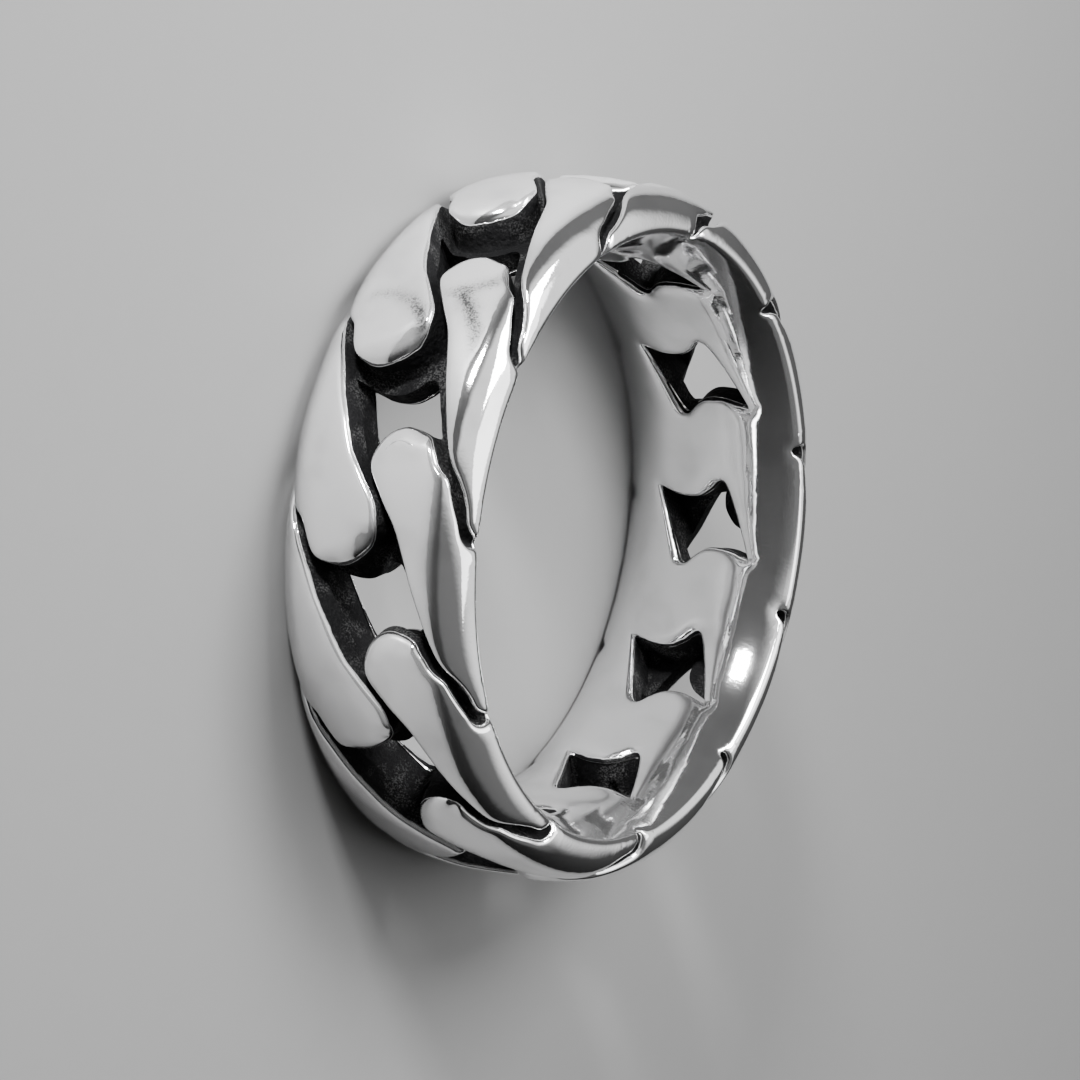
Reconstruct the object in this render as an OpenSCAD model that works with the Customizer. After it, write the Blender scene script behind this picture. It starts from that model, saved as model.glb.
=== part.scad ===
// Chain link ring: a one-piece cast finger ring in the form of a flattened curb chain.
// The ring lies on its side, with its axis along Z, and rests on the plane z = 0.
// Lengths are millimetres. "Across" runs along the section's outline from the middle of
// the band, positive towards the upper rim, and "along" runs round the ring.

/* [Band] */
// Diameter of the finger hole
bore_d = 19.8; // [15:0.1:24]
// Thickness of the band in the middle, from the finger hole to the crown of the links
wall = 2.7; // [2.2:0.1:3.4]
// Width of the band along the finger
band_w = 7.4; // [6.4:0.1:9]
// Radius of the gently domed crown across the links
crown_r = 11; // [7:0.5:16]
// Radius of the shoulders between the crown and the sides
shoulder_r = 1.4; // [1:0.05:1.7]
// Radius of the rims between the sides and the inside
rim_r = 0.3; // [0.15:0.05:0.5]
// How far the comfortable swell of the inside would stand in the finger hole, unbored
swell = 0.2; // [0.1:0.01:0.3]

/* [Links] */
// Number of links round the ring
link_count = 11; // [9:1:13]
// Height of the blackened floor between the two rows of links above the finger hole
floor_h = 1.1; // [0.8:0.05:1.5]
// Width of the slots between neighbouring links of a row
slot_w = 0.45; // [0.25:0.05:0.6]
// Depth of the slots into the shoulder and the rim
slot_depth = 0.75; // [0.4:0.05:0.9]
// How far past the widest line of the side the slots reach round the rim
slot_reach = 0.8; // [0.5:0.05:1]

/* [Windows] */
// Length of a window along the finger hole's wall
window_l = 3.1; // [2:0.1:3.6]
// Width of a window across the finger hole's wall
window_w = 3.9; // [2:0.1:4.2]
// Number of windows in front, whose slanted sides lean with the links as their gaps do
front_windows = 4; // [0:1:9]
// Place of the front windows along the ring, as a share of a link from the gap's middle
front_shift = 0.1; // [0:0.01:0.2]
// Place of the other windows, which lean against the links, with the same meaning
back_shift = 0.19; // [0:0.01:0.2]

/* [Hidden] */
// Facets of the cast form round the ring, a whole number for each link
cast_facets = 6 * link_count;
// Turn of those facets, as a share of a link, that keeps their edges off the recess's corners
facet_turn = 0.08;

bore_r = bore_d / 2;
outer_r = bore_r + wall;
half_w = band_w / 2;
floor_r = bore_r + floor_h;
pitch = 360 / link_count;
// How far a cutter stands out of the surface that it cuts
clear = 0.6;

// Section outline of the upper half, four arcs that run on into each other: the crown,
// the shoulder, the rim and the shallow swell of the inside
crown_angle = asin((half_w - shoulder_r) / (crown_r - shoulder_r));
side_r = outer_r - crown_r + (crown_r - shoulder_r) * cos(crown_angle);
inside_drop = side_r - bore_r + swell;
inside_r = (pow(inside_drop, 2) + pow(half_w, 2) - 2 * half_w * rim_r)
    / (2 * (inside_drop - rim_r));
inside_centre = bore_r - swell + inside_r;
rim_angle = atan2(inside_centre - side_r, half_w - rim_r);

// Columns: radius and height of the centre, radius of the arc, and the two angles from
// the ring's plane between which it turns
ARCS = [
    [outer_r - crown_r, 0, crown_r, 0, crown_angle],
    [side_r, half_w - shoulder_r, shoulder_r, crown_angle, 90],
    [side_r, half_w - rim_r, rim_r, 90, 90 + rim_angle],
    [inside_centre, 0, inside_r, 90 + rim_angle, 180]
];
// Straight steps that each arc is cast with; the bore takes the last one of the inside
ARC_STEPS = [3, 4, 2, 4];
function arc_len(i) = ARCS[i][2] * (ARCS[i][4] - ARCS[i][3]) * PI / 180;
half_len = arc_len(0) + arc_len(1);

// Edge of the recess towards the upper row, for one gap. Columns: along, as a share of a
// link from the middle of the gap, and across, as a share of half_len.
ALONG = 0;
ACROSS = 1;
RECESS_EDGE = [
    [-0.50, 0.045], [-0.45, 0.102], [-0.39, 0.170], [-0.32, 0.235], [-0.23, 0.306],
    [-0.13, 0.371], [-0.04, 0.436], [0.06, 0.497], [0.150, 0.550], [0.157, 0.400],
    [0.165, 0.290], [0.187, 0.165], [0.222, 0.060], [0.27, -0.015], [0.325, -0.048],
    [0.39, -0.045], [0.45, -0.010], [0.50, 0.045]
];

// Middle line of a slot of the upper row, from its mouth at a link's round tip. Columns:
// as above, and the shares of slot_w and slot_depth.
WIDTH = 2;
DEPTH = 3;
SLOT_LINE = [
    [0.11, 0.440, 1.50, 1.0], [0.165, 0.450, 1.80, 1.0], [0.205, 0.475, 1.50, 1.0],
    [0.26, 0.530, 1.15, 1.0], [0.32, 0.593, 1.00, 1.0], [0.37, 0.671, 1.00, 1.0],
    [0.42, 0.723, 1.00, 1.0], [0.48, 0.763, 1.00, 1.0], [0.56, 0.810, 1.00, 1.0],
    [0.62, 0.850, 0.95, 1.0], [0.66, 0.910, 0.90, 0.9], [0.69, 1.020, 0.80, 0.6]
];
// Along place of a slot's end on the inner edge of the rim
SLOT_END = 0.705;

// Outline of a window on the wall of the finger hole. Columns: along and across, as
// shares of half of window_l and half of window_w. Both ends bulge inwards.
WINDOW = [
    [0.72, -1.00], [0.58, -0.55], [0.60, -0.15], [0.80, 0.12], [1.00, 0.28],
    [0.98, 0.42], [0.55, 0.60], [-0.60, 0.98], [-0.72, 1.00], [-0.58, 0.55],
    [-0.60, 0.15], [-0.80, -0.12], [-1.00, -0.28], [-0.98, -0.42], [-0.55, -0.60],
    [0.60, -0.98]
];

// Radius and height of a place on the section's upper half, a length s from its middle
function section_point(s, i = 0) =
    i < len(ARCS) - 1 && s > arc_len(i) ? section_point(s - arc_len(i), i + 1)
    : let (a = ARCS[i], t = min(a[4], a[3] + s / a[2] * 180 / PI))
      [a[0] + a[2] * cos(t), a[1] + a[2] * sin(t)];

// Radius, height and outward direction at a place across. Past the crown that direction
// points away from the middle of the shoulder, so cuts from round the rim meet there.
function outline(s) =
    let (p = section_point(abs(s)), up = s < 0 ? -1 : 1,
         core = abs(s) > arc_len(0) ? [side_r, half_w - shoulder_r] : [outer_r - crown_r, 0],
         out = (p - core) / norm(p - core))
    [p[0], up * p[1], out[0], up * out[1]];

// Point at a place along (degrees) and across, raised off the surface by lift
function on_band(angle, s, lift = 0) =
    let (o = outline(s), r = o[0] + lift * o[2])
    [r * cos(angle), r * sin(angle), o[1] + lift * o[3]];

// Straight-line reading of a table's second column at a value of its first
function reading(table, x, i = 0) =
    i >= len(table) - 2 || x <= table[i + 1][0] ?
        table[i][1] + (table[i + 1][1] - table[i][1])
            * (x - table[i][0]) / (table[i + 1][0] - table[i][0])
    : reading(table, x, i + 1);

// Triangles of a tube whose rings hold four corners each, closed at its ends or on itself
function tube_faces(rings, looped = false) = concat(
    [for (i = [0 : rings - (looped ? 1 : 2)], c = [0 : 3], half = [0, 1])
        let (j = (i + 1) % rings, d = (c + 1) % 4)
        half == 0 ? [4 * i + c, 4 * i + d, 4 * j + d] : [4 * i + c, 4 * j + d, 4 * j + c]],
    looped ? [] : [[0, 2, 1], [0, 3, 2],
        [4 * rings - 4, 4 * rings - 3, 4 * rings - 2],
        [4 * rings - 4, 4 * rings - 2, 4 * rings - 1]]
);

// Domed band with its comfortable inside, before the finger hole is bored
module plain_band() {
    upper = [for (i = [0 : len(ARCS) - 1], k = [0 : ARC_STEPS[i] - 1])
        let (a = ARCS[i], t = a[3] + (a[4] - a[3]) * k / ARC_STEPS[i])
        [a[0] + a[2] * cos(t), a[1] + a[2] * sin(t)]];
    rotate([0, 0, facet_turn * pitch])
        rotate_extrude(angle = 360, $fn = cast_facets)
            polygon(concat(upper,
                [for (i = [len(upper) - 1 : -1 : 1]) [upper[i][0], -upper[i][1]]]));
}

// Recess between the two rows of links, all the way round
module recess() {
    stations = [for (g = [0 : link_count - 1], i = [0 : len(RECESS_EDGE) - 2])
        [g, RECESS_EDGE[i][ALONG]]];
    points = [for (st = stations)
        let (angle = (st[0] + st[1]) * pitch,
             upper = reading(RECESS_EDGE, st[1]) * half_len,
             lower = -reading(RECESS_EDGE, -st[1]) * half_len,
             z_up = outline(upper)[1], z_low = outline(lower)[1])
        each [for (c = [[outer_r + clear, z_up], [floor_r, z_up],
                        [floor_r, z_low], [outer_r + clear, z_low]])
            [c[0] * cos(angle), c[0] * sin(angle), c[1]]]];
    polyhedron(points, tube_faces(len(stations), looped = true), convexity = 10);
}

// Slot between two neighbouring links of the upper row, round the shoulder to the rim
module slot() {
    line = concat([for (p = SLOT_LINE) [p[ALONG], p[ACROSS] * half_len, p[WIDTH], p[DEPTH]]],
                  [[SLOT_END, half_len + slot_reach, 0.6, 0.4]]);
    last = len(line) - 1;
    points = [for (i = [0 : last])
        let (here = on_band(line[i][0] * pitch, line[i][1]),
             before = line[max(i - 1, 0)], after = line[min(i + 1, last)],
             run = on_band(after[0] * pitch, after[1]) - on_band(before[0] * pitch, before[1]),
             out = on_band(line[i][0] * pitch, line[i][1], 1) - here,
             side = cross(out, run) / norm(cross(out, run)) * slot_w * line[i][WIDTH] / 2,
             bed = out * slot_depth * line[i][DEPTH])
        each [here - side + out * clear, here + side + out * clear,
              here + side - bed, here - side - bed]];
    polyhedron(points, tube_faces(len(line)), convexity = 10);
}

// Window between the links, cut outwards from the finger hole to the recess. A lean of
// 1 slants its sides against the links, and -1 slants them as the links run.
module window(lean) {
    translate([bore_r - clear, 0, 0])
        rotate([90, 0, 90])
            linear_extrude(floor_h + 2 * clear)
                polygon([for (p = WINDOW)
                    [p[ALONG] * window_l / 2, lean * p[ACROSS] * window_w / 2]]);
}

// Band with its recess, slots and windows, as it comes from the mould
module cast_form() {
    difference() {
        plain_band();
        recess();
        for (g = [0 : link_count - 1])
            rotate([0, 0, g * pitch]) {
                slot();
                rotate([180, 0, 0]) slot();
                if ((g + 1) % link_count < front_windows)
                    rotate([0, 0, front_shift * pitch]) window(-1);
                else
                    rotate([0, 0, back_shift * pitch]) window(1);
            }
    }
}

// The ring: one solid, held to its stated width, with a true round finger hole
module link_band() {
    color("silver")
        translate([0, 0, half_w])
            difference() {
                resize([0, 0, band_w]) cast_form();
                cylinder(r = bore_r, h = band_w + 2 * clear, center = true, $fn = 96);
            }
}

link_band();
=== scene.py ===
"""Looks of the cast chain link ring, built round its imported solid.

Sizes are millimetres, as in the part's source, and meshes are written in metres.
"Across" runs along the section's outline from the middle of the band, positive towards
the upper rim. "Along" runs round the ring in links, from the middle of a gap.
"""

import logging
import math
from dataclasses import dataclass, field
from enum import Enum

import bpy
import numpy as np
from mathutils import Euler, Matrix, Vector, noise
from mathutils.geometry import delaunay_2d_cdt

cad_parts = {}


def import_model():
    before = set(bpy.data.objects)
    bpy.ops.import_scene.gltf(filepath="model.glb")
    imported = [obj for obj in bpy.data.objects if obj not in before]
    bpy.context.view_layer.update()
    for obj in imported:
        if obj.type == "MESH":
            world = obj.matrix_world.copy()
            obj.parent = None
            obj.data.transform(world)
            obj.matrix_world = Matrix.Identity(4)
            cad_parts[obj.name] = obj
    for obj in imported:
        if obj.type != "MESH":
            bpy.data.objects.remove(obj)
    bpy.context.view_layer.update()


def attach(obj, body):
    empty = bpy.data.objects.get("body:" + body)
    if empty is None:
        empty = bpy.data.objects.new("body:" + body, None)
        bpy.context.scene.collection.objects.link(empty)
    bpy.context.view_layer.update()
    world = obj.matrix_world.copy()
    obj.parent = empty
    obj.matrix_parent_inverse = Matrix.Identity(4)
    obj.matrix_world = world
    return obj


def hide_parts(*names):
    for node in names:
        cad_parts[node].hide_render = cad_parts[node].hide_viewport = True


LOG = logging.getLogger("chain_ring")
MM = 0.001
# Farther than any place on the ring, where a search for the nearest one starts.
FAR_MM = 1e9
# Points nearer than this are one point, and smaller triangles than this are flat.
SAME_POINT_MM = 1e-7
FLAT_AREA_MM2 = 1e-9
# Divisor that stands in for nought.
TINY = 1e-12

Pair = tuple[float, float]
Triple = tuple[float, float, float]
Quad = tuple[float, float, float, float]
Colour = tuple[float, float, float, float]


def smooth_step(value: np.ndarray, low: float, high: float) -> np.ndarray:
    """Eased rise from 0 at low to 1 at high.

    Args:
        value: Where the rise is read.
        low: Value up to which the result is 0.
        high: Value from which the result is 1.

    Returns:
        The eased share for each value.
    """
    share = np.clip((value - low) / (high - low), 0.0, 1.0)
    return share * share * (3.0 - 2.0 * share)


def smooth_line(points: np.ndarray, step: float, shares_count: int = 24) -> np.ndarray:
    """Even samples of the smooth curve through corner points.

    Args:
        points: Corner points; the first and the last only steer the curve's ends.
        step: Wanted distance between the samples.
        shares_count: Places between two corner points at which the curve is worked out.

    Returns:
        Points from the second corner up to, and without, the last but one.
    """
    dense = []
    shares = np.linspace(0.0, 1.0, shares_count, endpoint=False)[:, None]
    for a, b, c, d in zip(points[:-3], points[1:-2], points[2:-1], points[3:]):
        dense.append(
            0.5
            * (
                2 * b
                + (c - a) * shares
                + (2 * a - 5 * b + 4 * c - d) * shares**2
                + (3 * b - a - 3 * c + d) * shares**3
            )
        )
    line = np.vstack(dense + [points[-2][None, :]])
    reach = np.concatenate([[0.0], np.cumsum(np.linalg.norm(np.diff(line, axis=0), axis=1))])
    count = int(round(reach[-1] / step))
    at = np.linspace(0.0, reach[-1], count, endpoint=False)
    return np.column_stack([np.interp(at, reach, line[:, i]) for i in (0, 1)])


@dataclass
class PointGroups:
    """Groups of points in a plane, the most important first, each with its least gap."""

    groups: list[np.ndarray] = field(default_factory=list)
    gaps: list[np.ndarray] = field(default_factory=list)

    def add(self, points: np.ndarray, gap: float) -> None:
        """Adds a group whose points keep that gap to all the points before them."""
        self.groups.append(points)
        self.gaps.append(np.full(len(points), gap))

    def thinned(self) -> np.ndarray:
        """Takes out the points that lie too near a kept one before them.

        Returns:
            The kept points, in their order.
        """
        points, gap = np.vstack(self.groups), np.concatenate(self.gaps)
        cell = float(gap.max())
        grid: dict[tuple[int, int], list[Pair]] = {}
        kept = []
        for i, (x, y) in enumerate(points):
            column, row = int(math.floor(x / cell)), int(math.floor(y / cell))
            near = (
                point
                for dc in (-1, 0, 1)
                for dr in (-1, 0, 1)
                for point in grid.get((column + dc, row + dr), ())
            )
            if all((u - x) ** 2 + (v - y) ** 2 >= gap[i] ** 2 for u, v in near):
                kept.append(i)
                grid.setdefault((column, row), []).append((x, y))
        return points[kept]


def plane_triangles(points: np.ndarray) -> np.ndarray:
    """Delaunay triangles of points in a plane, turned anticlockwise.

    Args:
        points: Points of the plane, all apart from each other.

    Returns:
        Rows of three indices.
    """
    made = delaunay_2d_cdt([Vector(p) for p in points.tolist()], [], [], 0, SAME_POINT_MM)
    back = [first[0] for first in made[3]]
    rows = np.array([[back[i] for i in face] for face in made[2]], int)
    a, b, c = (points[rows[:, i]] for i in range(3))
    area = (b[:, 0] - a[:, 0]) * (c[:, 1] - a[:, 1]) - (b[:, 1] - a[:, 1]) * (c[:, 0] - a[:, 0])
    rows[area < 0] = rows[area < 0][:, ::-1]
    return rows[np.abs(area) > FLAT_AREA_MM2]


@dataclass(frozen=True)
class Section:
    """Cross-section of the band: four arcs that run on into each other, and the bore."""

    bore_r: float = 9.9
    wall: float = 2.7
    band_w: float = 7.4
    crown_r: float = 11.0
    shoulder_r: float = 1.4
    rim_r: float = 0.3
    swell: float = 0.2
    floor_h: float = 1.1
    slot_depth: float = 0.75
    seam_past_rim: float = 0.9
    bore_blend: float = 0.15
    samples: int = 700
    batch: int = 20000

    @property
    def outer_r(self) -> float:
        """Radius of the crown's highest line."""
        return self.bore_r + self.wall

    @property
    def half_w(self) -> float:
        """Half the band's width."""
        return self.band_w / 2

    @property
    def floor_r(self) -> float:
        """Radius of the blackened floor."""
        return self.bore_r + self.floor_h

    @property
    def crown_angle(self) -> float:
        """Angle at which the crown runs into the shoulder, in radians."""
        return math.asin((self.half_w - self.shoulder_r) / (self.crown_r - self.shoulder_r))

    @property
    def side_r(self) -> float:
        """Radius at which the shoulders' arcs have their centres."""
        reach = (self.crown_r - self.shoulder_r) * math.cos(self.crown_angle)
        return self.outer_r - self.crown_r + reach

    @property
    def inside_r(self) -> float:
        """Radius of the shallow arc across the inside."""
        drop = self.side_r - self.bore_r + self.swell
        top = drop**2 + self.half_w**2 - 2 * self.half_w * self.rim_r
        return top / (2 * (drop - self.rim_r))

    @property
    def inside_centre(self) -> float:
        """Radius at which the inside's arc has its centre."""
        return self.bore_r - self.swell + self.inside_r

    @property
    def rim_angle(self) -> float:
        """Angle that the rim's arc turns through, in radians."""
        return math.atan2(self.inside_centre - self.side_r, self.half_w - self.rim_r)

    @property
    def crown_len(self) -> float:
        """Length of the crown's arc from the middle."""
        return self.crown_r * self.crown_angle

    @property
    def half_len(self) -> float:
        """Length of the outline from the middle to the widest line of the side."""
        return self.crown_len + self.shoulder_r * (math.pi / 2 - self.crown_angle)

    @property
    def rim_end(self) -> float:
        """Length of the outline from the middle to the rim's inner end."""
        return self.half_len + self.rim_r * self.rim_angle

    @property
    def seam(self) -> float:
        """Place across where the outer sheet meets the inside's sheet."""
        return self.rim_end + self.seam_past_rim

    def outline(self, across: np.ndarray) -> tuple[np.ndarray, ...]:
        """Places on the section and the directions that point out of it.

        Args:
            across: Lengths along the outline from the middle, signed.

        Returns:
            Radius, height, and the outward direction's two parts.
        """
        a, up = np.abs(across), np.where(across < 0, -1.0, 1.0)
        core_z = self.half_w - self.shoulder_r
        shoulder = self.crown_angle + (a - self.crown_len) / self.shoulder_r
        rim = math.pi / 2 + (a - self.half_len) / self.rim_r
        inside = math.pi / 2 + self.rim_angle + (a - self.rim_end) / self.inside_r
        arcs = (
            (self.outer_r - self.crown_r, 0.0, self.crown_r, a / self.crown_r),
            (self.side_r, core_z, self.shoulder_r, shoulder),
            (self.side_r, self.half_w - self.rim_r, self.rim_r, rim),
            (self.inside_centre, 0.0, self.inside_r, inside),
        )
        which = (a > self.crown_len).astype(int) + (a > self.half_len) + (a > self.rim_end)
        radii = [cr + radius * np.cos(t) for cr, _, radius, t in arcs]
        heights = [cz + radius * np.sin(t) for _, cz, radius, t in arcs]
        r, z = np.choose(which, radii), np.choose(which, heights)
        out_r = np.where(which > 0, r - self.side_r, np.cos(arcs[0][3]))
        out_z = np.where(which > 0, z - core_z, np.sin(arcs[0][3]))
        size = np.hypot(out_r, out_z)
        return r, z * up, out_r / size, out_z / size * up

    def inside(self, height: np.ndarray) -> np.ndarray:
        """Radius of the inside, where the swell's arc runs softly into the true bore.

        Args:
            height: Heights from the ring's middle plane.

        Returns:
            Radii.
        """
        arc = self.inside_centre - np.sqrt(self.inside_r**2 - height**2)
        apart = np.abs(arc - self.bore_r)
        lift = np.clip(self.bore_blend - apart, 0.0, None) ** 2 / (4 * self.bore_blend)
        return np.maximum(arc, self.bore_r) + lift

    def sunk(self, radius: np.ndarray, height: np.ndarray) -> np.ndarray:
        """How deep places lie under the outer outline.

        Args:
            radius: Distances from the ring's axis.
            height: Heights from the ring's middle plane.

        Returns:
            Depths.
        """
        r, z, _, _ = self.outline(np.linspace(-self.seam, self.seam, self.samples))
        depth = np.empty(len(radius))
        for start in range(0, len(radius), self.batch):
            part = slice(start, start + self.batch)
            depth[part] = np.hypot(radius[part, None] - r, height[part, None] - z).min(axis=1)
        return depth


class Row(Enum):
    """The two rows of links. A lower link is drawn with both directions turned round."""

    UPPER = 1
    LOWER = -1


@dataclass
class EdgeCurve:
    """Edge between one row's polished links and the blackened recess and slots.

    Its corner points run from a link's tip along the channel, out along the far side of
    the slot to the slot's end, and back to the tip of the next link. The nose is the part
    of a link round its tip, sunk by that depth at the edge. It lies nose_middle along the
    curve, is whole for nose_half to each side, and is gone at nose_fade times that.
    """

    row: Row
    corners: tuple[Pair, ...]
    link_mm: float
    nose: float
    nose_reach: float
    nose_half: float
    nose_middle: float
    nose_fade: float = 2.2
    step: float = 0.11
    slope: float = 0.1
    slope_reach: float = 2.4
    slope_power: float = 1.3
    slope_round: float = 0.5
    growth_across: Quad = (2.4, 3.0, 3.6, 4.2)
    slot_growth: Quad = (0.0, 0.06, 0.07, 0.10)
    copies: tuple[int, ...] = (-3, -2, -1, 0, 1)
    batch: int = 4000
    line: np.ndarray = field(init=False, repr=False)
    normal: np.ndarray = field(init=False, repr=False)
    tip: np.ndarray = field(init=False, repr=False)

    def __post_init__(self) -> None:
        """Samples the curve once: its points, their outward directions and tip shares."""
        corner = np.array(self.corners) * (self.link_mm, 1.0)
        behind, ahead = corner[-1:] - (self.link_mm, 0.0), corner[:2] + (self.link_mm, 0.0)
        line = smooth_line(np.vstack([behind, corner, ahead]), self.step)
        before = np.vstack([line[-1:] - (self.link_mm, 0.0), line[:-1]])
        after = np.vstack([line[1:], line[:1] + (self.link_mm, 0.0)])
        run = after - before
        normal = np.column_stack([run[:, 1], -run[:, 0]])
        normal /= np.linalg.norm(normal, axis=1, keepdims=True)
        wider = np.interp(line[:, 1], self.growth_across, self.slot_growth)
        length = np.arange(len(line)) * self.step
        total = len(line) * self.step
        from_tip = np.abs((length - self.nose_middle + total / 2) % total - total / 2)
        self.line = line - normal * wider[:, None]
        self.normal = normal
        fade_end = self.nose_fade * self.nose_half
        self.tip = 1.0 - smooth_step(from_tip, self.nose_half, fade_end)

    def reading(self, points: np.ndarray) -> tuple[np.ndarray, np.ndarray]:
        """Distances from the edge, positive on the black side, and how near a tip that is.

        Args:
            points: Points of the plane.

        Returns:
            Signed distances and tip shares.
        """
        own = points * self.row.value
        line = np.vstack([self.line + (c * self.link_mm, 0.0) for c in self.copies])
        after = np.roll(line, -1, axis=0)
        after[-1] = line[-1]
        normal = np.tile(self.normal, (len(self.copies), 1))
        tip = np.tile(self.tip, len(self.copies))
        distance, share = np.empty(len(own)), np.empty(len(own))
        for start in range(0, len(own), self.batch):
            p = own[start : start + self.batch]
            square = ((p[:, None, :] - line[None, :, :]) ** 2).sum(axis=2)
            near = square.argmin(axis=1)
            best, side, best_tip = np.full(len(p), FAR_MM), np.ones(len(p)), tip[near]
            for first in (near - 1, near):
                first = np.clip(first, 0, len(line) - 2)
                a, b = line[first], line[first + 1]
                run = b - a
                t = ((p - a) * run).sum(1) / np.maximum((run * run).sum(1), TINY)
                t = np.clip(t, 0.0, 1.0)[:, None]
                away = p - (a + run * t)
                gap = np.linalg.norm(away, axis=1)
                out = normal[first] * (1 - t) + normal[first + 1] * t
                better = gap < best
                best = np.where(better, gap, best)
                side = np.where(better, np.sign((away * out).sum(1) + TINY), side)
                between = tip[first] * (1 - t[:, 0]) + tip[first + 1] * t[:, 0]
                best_tip = np.where(better, between, best_tip)
            distance[start : start + self.batch] = best * side
            share[start : start + self.batch] = best_tip
        return distance, share

    def tip_slope(self, points: np.ndarray) -> np.ndarray:
        """Depths of the long gentle slope towards the nearest tip.

        Args:
            points: Points of the plane.

        Returns:
            Depths.
        """
        own = points * self.row.value
        middle = self.line[int(self.nose_middle / self.step)]
        tips = [middle + (c * self.link_mm, 0.0) for c in self.copies]
        straight = [np.linalg.norm(own - tip, axis=1) for tip in tips]
        away = np.min([np.hypot(gap, self.slope_round) for gap in straight], axis=0)
        return self.slope * np.clip(1 - away / self.slope_reach, 0.0, None) ** self.slope_power

    def offset(self, away: float) -> np.ndarray:
        """Samples of the edge moved away from it, in the plane of both rows."""
        return (self.line + self.normal * away) * self.row.value


UPPER_EDGE: tuple[Pair, ...] = (
    (0.166, 1.44), (0.161, 1.07), (0.182, 0.66), (0.222, 0.33), (0.272, 0.12), (0.335, 0.07),
    (0.400, 0.21), (0.470, 0.53), (0.560, 0.96), (0.620, 1.26), (0.680, 1.49), (0.740, 1.66),
    (0.820, 1.86), (0.920, 2.08), (1.060, 2.40), (1.160, 2.62), (1.255, 2.87), (1.315, 3.10),
    (1.380, 3.45), (1.440, 3.72), (1.510, 3.94), (1.570, 4.05), (1.605, 4.15), (1.640, 4.36),
    (1.662, 4.58), (1.676, 4.75), (1.690, 4.83), (1.706, 4.75), (1.704, 4.52), (1.694, 4.20),
    (1.660, 3.92), (1.580, 3.70), (1.520, 3.51), (1.450, 3.31), (1.400, 3.17), (1.375, 3.02),
    (1.352, 2.80), (1.325, 2.61), (1.272, 2.39), (1.230, 2.22), (1.200, 2.07), (1.182, 1.80),
)
LOWER_EDGE: tuple[Pair, ...] = (
    (0.130, 1.10), (0.145, 0.65), (0.180, 0.20), (0.235, -0.25), (0.300, -0.52),
    (0.360, -0.61), (0.440, -0.52), (0.500, -0.27), (0.550, 0.00), (0.610, 0.33),
    (0.680, 0.72), (0.770, 1.07), (0.870, 1.40), (0.960, 1.75), (1.040, 2.02), (1.110, 2.25),
    (1.180, 2.50), (1.230, 2.67), (1.270, 2.83), (1.315, 3.02), (1.380, 3.38), (1.440, 3.68),
    (1.510, 3.92), (1.570, 4.05), (1.605, 4.15), (1.640, 4.36), (1.662, 4.58), (1.676, 4.75),
    (1.690, 4.83), (1.706, 4.75), (1.704, 4.52), (1.694, 4.20), (1.660, 3.92), (1.580, 3.68),
    (1.520, 3.46), (1.450, 3.23), (1.400, 3.09), (1.375, 2.93), (1.352, 2.70), (1.325, 2.50),
    (1.280, 2.33), (1.230, 2.17), (1.180, 1.93), (1.145, 1.55),
)
# Distance past a link's edge, depth of its rounding, and share of the wall below that.
EDGE_PROFILE: tuple[tuple[float, float, float], ...] = (
    (-0.22, 0.000, 0.00), (-0.12, 0.012, 0.00), (-0.05, 0.045, 0.00), (0.00, 0.095, 0.00),
    (0.03, 0.135, 0.10), (0.07, 0.165, 0.38), (0.12, 0.180, 0.70), (0.17, 0.190, 0.92),
    (0.24, 0.200, 1.00),
)
# Outline of a window on the finger hole's wall, as shares of its half length and width.
WINDOW_OUTLINE: tuple[Pair, ...] = (
    (0.72, -1.00), (0.58, -0.55), (0.60, -0.15), (0.80, 0.12), (1.00, 0.28), (0.98, 0.42),
    (0.55, 0.60), (-0.60, 0.98), (-0.72, 1.00), (-0.58, 0.55), (-0.60, 0.15), (-0.80, -0.12),
    (-1.00, -0.28), (-0.98, -0.42), (-0.55, -0.60), (0.60, -0.98),
)
# Distance past a window's edge and depth of the rolled rim there.
WINDOW_PROFILE: tuple[Pair, ...] = (
    (-0.90, 0.000), (-0.60, 0.006), (-0.40, 0.018), (-0.25, 0.040), (-0.14, 0.075),
    (-0.07, 0.120), (-0.02, 0.190), (0.015, 0.300), (0.04, 0.550),
)


class Lean(Enum):
    """How a window's slanted sides lean: as the links run, or against them."""

    WITH_LINKS = -1
    AGAINST_LINKS = 1


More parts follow.
